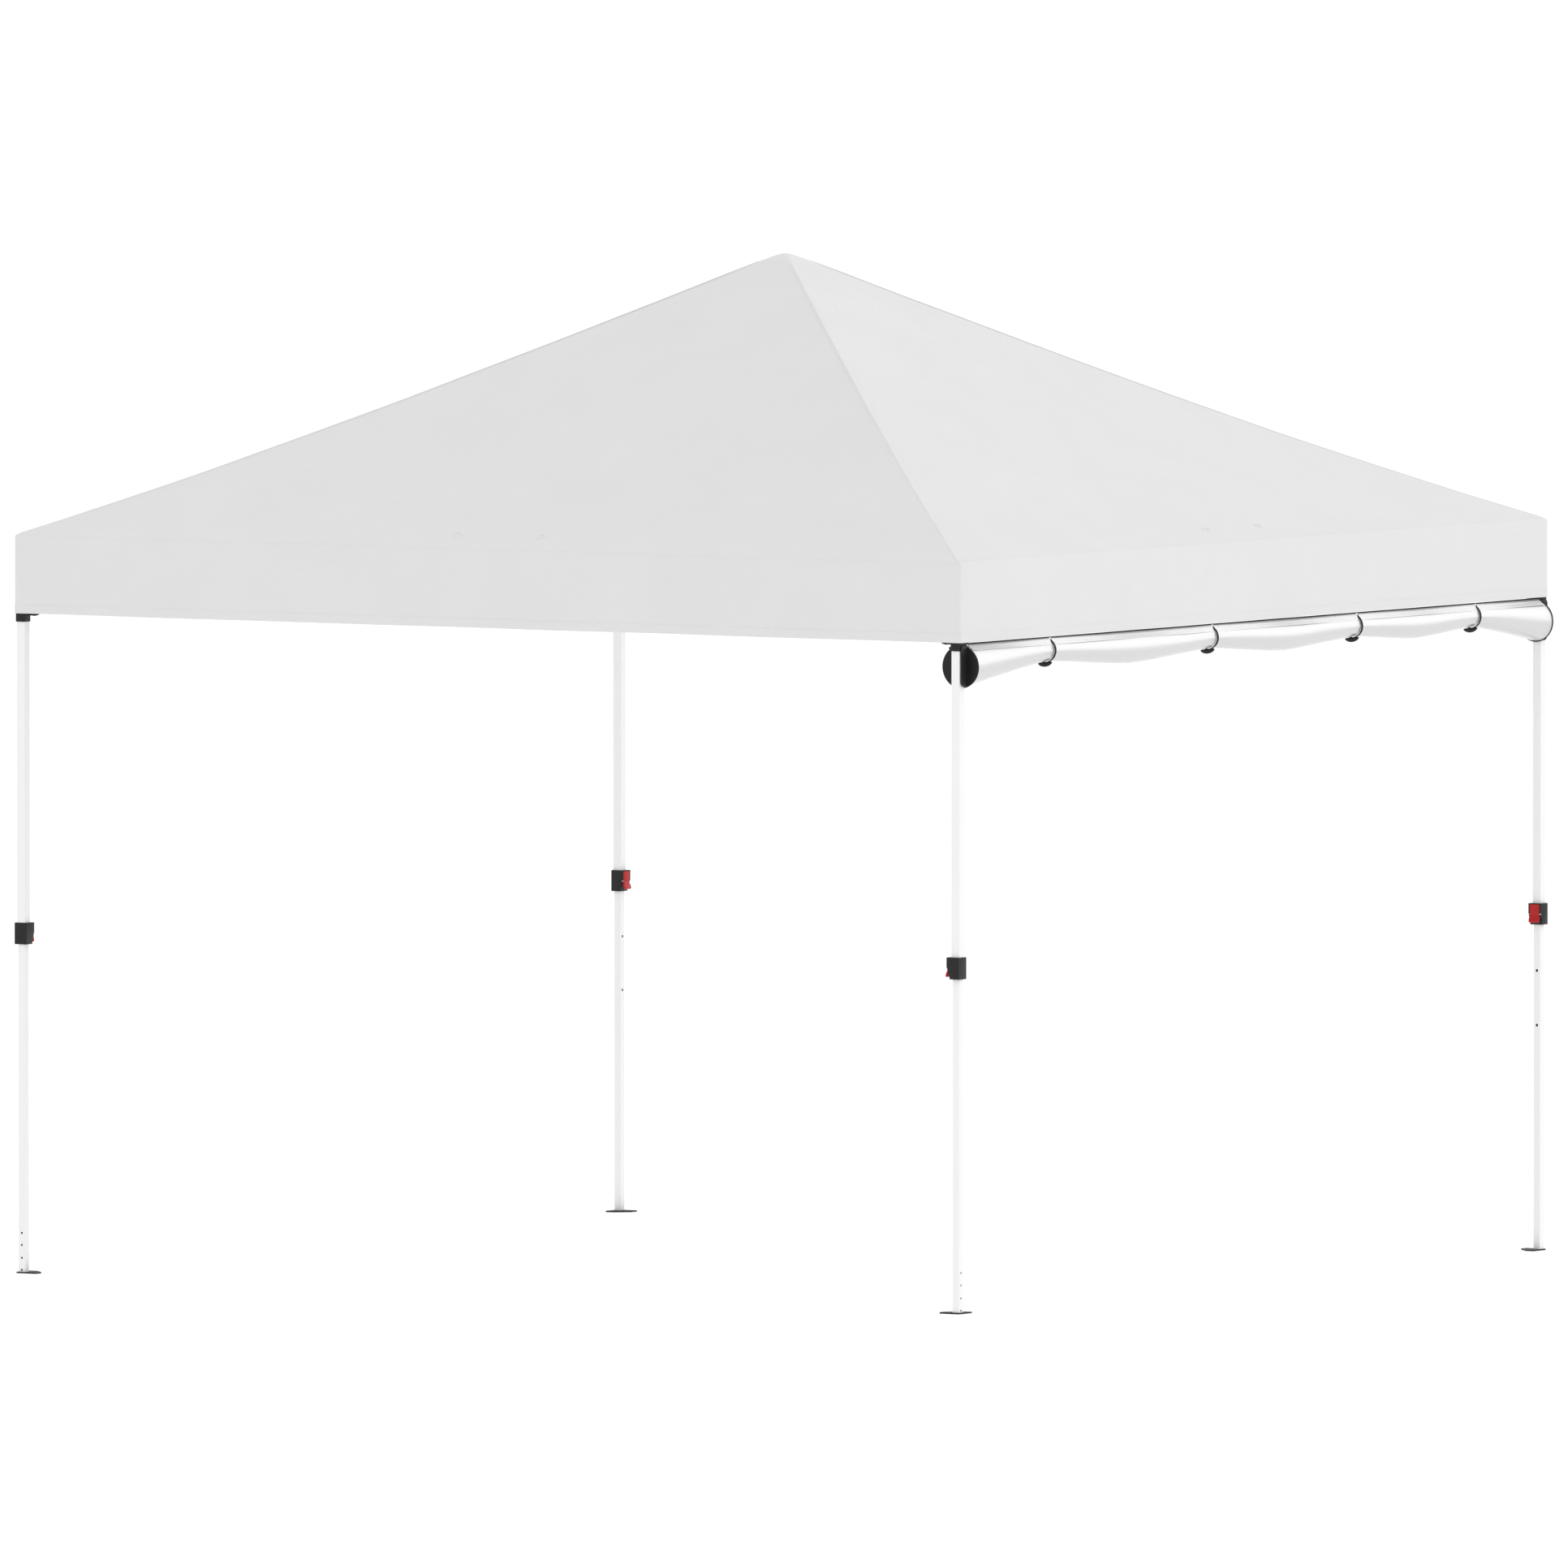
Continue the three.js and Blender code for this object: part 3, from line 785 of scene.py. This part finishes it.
# ---- the rolled sidewall: one long sheet wound up, pinched by its straps, full at its end caps ----
TURNS = 12
FINE_TURNS = 4
CORE_SHARE = 0.16
FREE_EDGE = math.radians(205)
ROLL_BODY = "leg_front_right"
# the dent that a bracket's knob needs in the roll's back end: half width, deepest y, lowest z
BUTTON_ROOM = Vector((0.0075, 1.4236, 1.7205))
# the last turn runs on over each end cap's plug, up to the cap's rim
CUFF_END_Y = 1.4394
CUFF_ANGLE = 6.2
END_RADIUS = CAP_RADIUS + 0.0003
FULL_SPAN = 0.75
PEAK_ROUNDING = 0.10
GATHER = 0.0011
SOFTNESS = 0.0012
pinches = [-ROLL_END_Y, *STRAP_Y, ROLL_END_Y]


def roll_radius(y):
    """Straight from pinch to fullest and back, a little rounded, as tight cloth runs."""
    after = next(k for k in range(1, len(pinches)) if y <= pinches[k] + 1e-9)
    start, end = pinches[after - 1], pinches[after]
    share = (y - start) / (end - start)
    if after == 1 or after == len(pinches) - 1:
        from_strap = share if after == len(pinches) - 1 else 1 - share
        return STRAP_RADIUS + (END_RADIUS - STRAP_RADIUS) * from_strap ** 1.12
    peak = 1 - abs(2 * share - 1)
    fullness = min(1.0, (end - start) / FULL_SPAN)
    rounded = peak - PEAK_ROUNDING * math.exp(-((1 - peak) / PEAK_ROUNDING) ** 2)
    return STRAP_RADIUS + (BULGE_RADIUS - STRAP_RADIUS) * fullness * max(0.0, rounded)


def roll_angles():
    """Around the roll from its core to its free edge, finer on the outer turns."""
    inner = [step / 20 for step in range((TURNS - FINE_TURNS) * 20)]
    outer = [TURNS - FINE_TURNS + step / 72 for step in range(FINE_TURNS * 72 + 1)]
    return [FREE_EDGE - 2 * math.pi * (TURNS - turn) for turn in inner + outer]


def sidewall_roll():
    stations = set()
    for start, end in zip(pinches, pinches[1:]):
        stations.update(start + (end - start) * (0.5 - 0.5 * math.cos(math.pi * k / 16)) for k in range(17))
    angles = roll_angles()
    first, last = angles[0], angles[-1]
    rows = []
    for y in sorted(stations):
        radius = roll_radius(y)
        at_cap = abs(y) > ROLL_END_Y - 1e-6
        near = min(abs(y - pinch) for pinch in STRAP_Y)
        gather = GATHER * math.exp(-near / 0.05)
        row = []
        for angle in angles:
            share = CORE_SHARE + (1 - CORE_SHARE) * (angle - first) / (last - first)
            pleat = gather * math.sin(11 * angle + 2.0) * math.exp(-near / 0.12) * min(1.0, near / 0.012)
            soft = SOFTNESS * noise.noise(Vector((y * 5.0, math.cos(angle) * 0.9, math.sin(angle) * 0.9)))
            r = radius * share + (pleat - gather * 0.4 + soft) * share - 0.0006
            x, z = ROLL_X + r * math.cos(angle), ROLL_TOP_Z - radius + r * math.sin(angle)
            by_button = abs(x - LEG_AT) < BUTTON_ROOM.x and z > BUTTON_ROOM.z
            cuff_y = math.copysign(CUFF_END_Y, y) if at_cap and angle > last - CUFF_ANGLE else y
            row.append((x, min(y, BUTTON_ROOM.y) if by_button else cuff_y, z))
        rows.append(row)
    columns = len(rows[0])
    points = [p for row in rows for p in row]
    roll = mesh_piece("sidewall_sheet", points, grid_faces(len(rows), columns, False), SIDEWALL)
    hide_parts("sidewall_roll")
    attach(roll, ROLL_BODY)
    drawn_in(roll, along_roll)
    return roll


roll = sidewall_roll()


# ---- what carries the roll ----
TAPE_X = (1.461, 1.471)
TAPE_Z = (1.7418, 1.7434)
HEADER_TOP = (1.4685, 1.7417)
HEADER_SKIN = (0.0005, 0.0004)
HEADER_SUNK = 0.0007
HEADER_HOLLOW = 0.0006
STRAP_ROOM = 0.0040
STRAP_WIDTH = 0.007
STRAP_THICK = 0.0016


def header_tape():
    rows = []
    for step in range(97):
        y = -CAP_OUTER_Y + 2 * CAP_OUTER_Y * step / 96
        wave = 0.0003 * noise.noise(Vector((y * 6, 0, 0)))
        rows.append([(TAPE_X[1], y, TAPE_Z[1] + wave), (TAPE_X[1], y, TAPE_Z[0] + wave),
                     (TAPE_X[0], y, TAPE_Z[0] + wave), (TAPE_X[0], y, TAPE_Z[1] + wave)])
    tape = ribbon("header_tape", [(rows, False)], STRAP, ROLL_BODY)
    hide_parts("sidewall_harness")
    drawn_in(tape, along_roll)


def sidewall_header():
    """The sheet leaves the tape and runs onto the roll at a tangent, let through at each strap."""
    paths = []
    for start, end in zip(pinches, pinches[1:]):
        rows = []
        for step in range(25):
            y = start + STRAP_ROOM + (end - start - 2 * STRAP_ROOM) * step / 24
            radius = roll_radius(y) - HEADER_SUNK
            centre_z = ROLL_TOP_Z - roll_radius(y)
            out, up = HEADER_TOP[0] - ROLL_X, HEADER_TOP[1] - centre_z
            touch = math.atan2(up, out) - math.acos(radius / math.hypot(out, up))
            low = (ROLL_X + radius * math.cos(touch), centre_z + radius * math.sin(touch))
            normal = (math.cos(touch), math.sin(touch))
            middle = [(a + b) / 2 - HEADER_HOLLOW * n for a, b, n in zip(low, HEADER_TOP, normal)]
            outer = [HEADER_TOP, middle, low]
            inner = [(x - HEADER_SKIN[0], z - HEADER_SKIN[1]) for x, z in reversed(outer)]
            rows.append([(x, y, z) for x, z in outer + inner])
        paths.append((rows, False))
    strip = ribbon("sidewall_header", paths, SIDEWALL, ROLL_BODY)
    drawn_in(strip, along_roll)
    return strip


def strap_and_toggle(number, y):
    """A flat strap round the roll, closed by an oval toggle under it."""
    centre_z = ROLL_TOP_Z - STRAP_RADIUS
    inner = STRAP_RADIUS + 0.0002
    rows = []
    for step in range(64):
        angle = 2 * math.pi * step / 64
        lift = 0.0005 * math.sin(2 * angle + number)
        points = []
        for radius, edge in ((inner + STRAP_THICK, 1), (inner + STRAP_THICK, -1), (inner, -1), (inner, 1)):
            points.append((ROLL_X + radius * math.cos(angle), y + edge * STRAP_WIDTH / 2 + lift,
                           centre_z + radius * math.sin(angle)))
        rows.append(points)
    strap = ribbon(f"roll_strap_{number}", [(rows, True)], STRAP, ROLL_BODY)
    soft_edges(strap, 0.0004, 2)
    work = bmesh.new()
    bmesh.ops.create_uvsphere(work, u_segments=28, v_segments=16, radius=1)
    for vertex in work.verts:
        x, across, z = vertex.co
        vertex.co = Vector((x * 0.0215, across * 0.0075, z * (0.0082 if z < 0 else 0.0045)))
        vertex.co.z += 0.0030 * (x * 0.9) ** 2
    work.transform(Matrix.Translation((ROLL_X - 0.001, y, centre_z - inner - 0.0050))
                   @ Matrix.Rotation(math.radians(-7), 4, "Y"))
    toggle = from_bmesh(f"roll_toggle_{number}", work, BLACK)
    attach(toggle, ROLL_BODY)
    share = (y + LEG_AT) / (2 * LEG_AT)
    for piece in (strap, toggle):
        drawn_in(piece, lambda *_: roll_shares(share))
    return strap


def cut_away(piece, low, high):
    work = bmesh.new()
    bmesh.ops.create_cube(work, size=1)
    size = Vector(high) - Vector(low)
    work.transform(Matrix.Translation((Vector(low) + Vector(high)) / 2) @ Matrix.Diagonal((*size, 1)))
    tool = from_bmesh("cutter", work, BLACK, False)
    cut = piece.modifiers.new("cut", "BOOLEAN")
    cut.operation = "DIFFERENCE"
    cut.object = tool
    cut.solver = "EXACT"
    graph = bpy.context.evaluated_depsgraph_get()
    piece.data = bpy.data.meshes.new_from_object(piece.evaluated_get(graph))
    piece.modifiers.clear()
    bpy.data.objects.remove(tool)


CHEEK_X = (1.4726, 1.4760)
CHEEK_OUTLINE = ((1.4368, 1.7378), (1.4368, 1.6330), (1.4520, 1.6300), (1.4630, 1.6330),
                 (1.4690, 1.6420), (1.4690, 1.7310), (1.4640, 1.7378))
HANGER_X = (1.4632, 1.4712)
HANGER_OUTLINE = ((1.4368, 1.7434), (1.4368, 1.7150), (1.4412, 1.7150), (1.4412, 1.7434))
# the slot that a bracket's knob comes through: half width, near and far y, low and high z
KNOB_SLOT = (0.0060, 1.4305, 1.4445, 1.7220, 1.7460)


def end_cap(end, name, share_of_back):
    """A shallow dished disc with a rim, a cheek on the leg's outer face and a hanger up to the tape."""
    place = Vector((ROLL_X, end * CAP_OUTER_Y, ROLL_TOP_Z - CAP_RADIUS))
    rim = CAP_RADIUS
    profile = [(0, -0.0016), (0.018, -0.0016), (0.020, -0.0010), (0.0455, -0.0010), (0.0490, -0.0003),
               (0.0510, 0.0), (rim - 0.0010, 0.0), (rim - 0.0003, -0.0003), (rim, -0.0009), (rim, -0.0016),
               (rim - 0.0050, -0.0018), (rim - 0.0055, -CAP_THICK), (0, -CAP_THICK)]
    disc = turned(f"roll_end_cap_{name}", profile, place, (0, end, 0), BLACK, 96)
    half_width, near, far, low, high = KNOB_SLOT
    near, far = sorted((end * near, end * far))
    cut_away(disc, (LEG_AT - half_width, near, low), (LEG_AT + half_width, far, high))
    cheek, hanger = (plate(f"roll_{kind}_{name}", [(end * y, z) for y, z in outline], *x_range, "X", BLACK)
                     for kind, outline, x_range in (("leg_clip", CHEEK_OUTLINE, CHEEK_X),
                                                    ("cap_hanger", HANGER_OUTLINE, HANGER_X)))
    soft_edges(cheek, 0.0009, 3, 25)
    for piece in (disc, cheek, hanger):
        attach(piece, ROLL_BODY)
        drawn_in(piece, lambda *_: roll_shares(share_of_back))


header_tape()
header = sidewall_header()
straps = [strap_and_toggle(number, y) for number, y in enumerate(STRAP_Y, 1)]
end_cap(-1, "front", 0.0)
end_cap(1, "back", 1.0)
